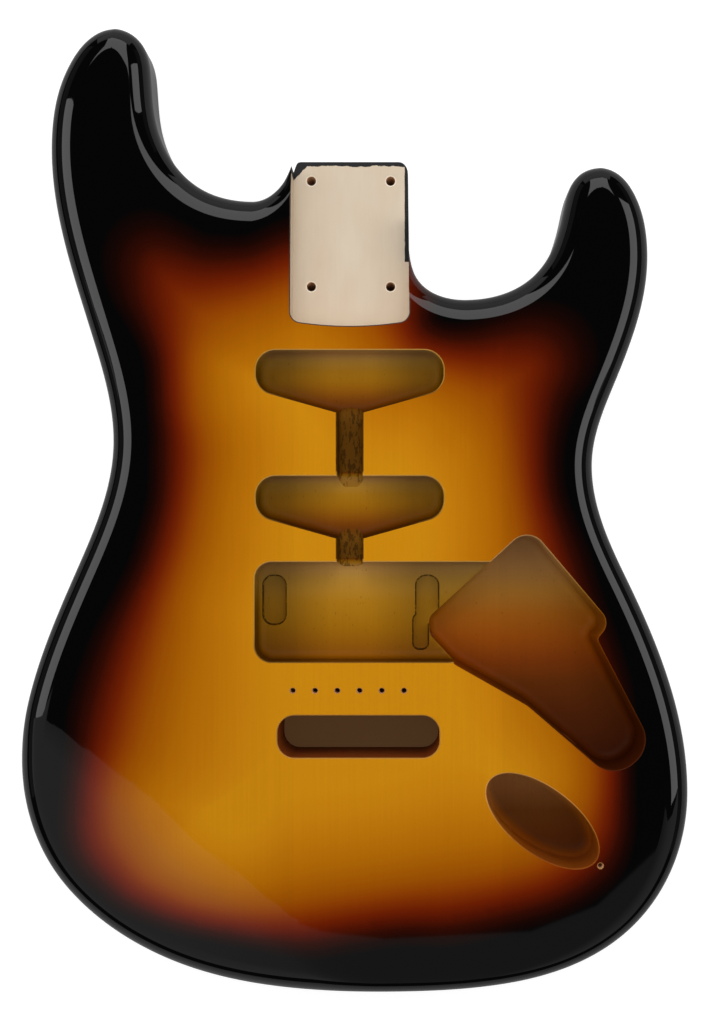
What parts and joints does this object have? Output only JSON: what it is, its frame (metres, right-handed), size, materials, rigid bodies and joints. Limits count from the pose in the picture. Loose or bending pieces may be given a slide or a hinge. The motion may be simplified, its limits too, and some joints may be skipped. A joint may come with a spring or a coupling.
{
  "type": "electric guitar body",
  "caption": "Bare solid electric guitar body with two cutaways, sunburst lacquer, a neck pocket and routed cavities, glued up from edge-joined boards.",
  "frame": {"origin": "under the middle of the outline's width and length, at the height of the flat back face", "axes": "+Z from the back face towards the top face that the pickups sit in, +Y towards the neck, +X towards the treble side"},
  "size_m": [0.319, 0.46, 0.044],
  "materials": {
    "lacquered_wood": "gloss sunburst lacquer, black at the edges through dark red to amber in the middle; bare wood in the neck pocket",
    "dried_glue": "thin dark line of dried wood glue under the lacquer"
  },
  "bodies": {
    "root": {"bass_board": "lacquered_wood", "centre_board": "lacquered_wood", "treble_board": "lacquered_wood", "bass_glue_line_front": "dried_glue", "bass_glue_line_tail": "dried_glue", "treble_glue_line": "dried_glue"}
  },
  "joints": []
}
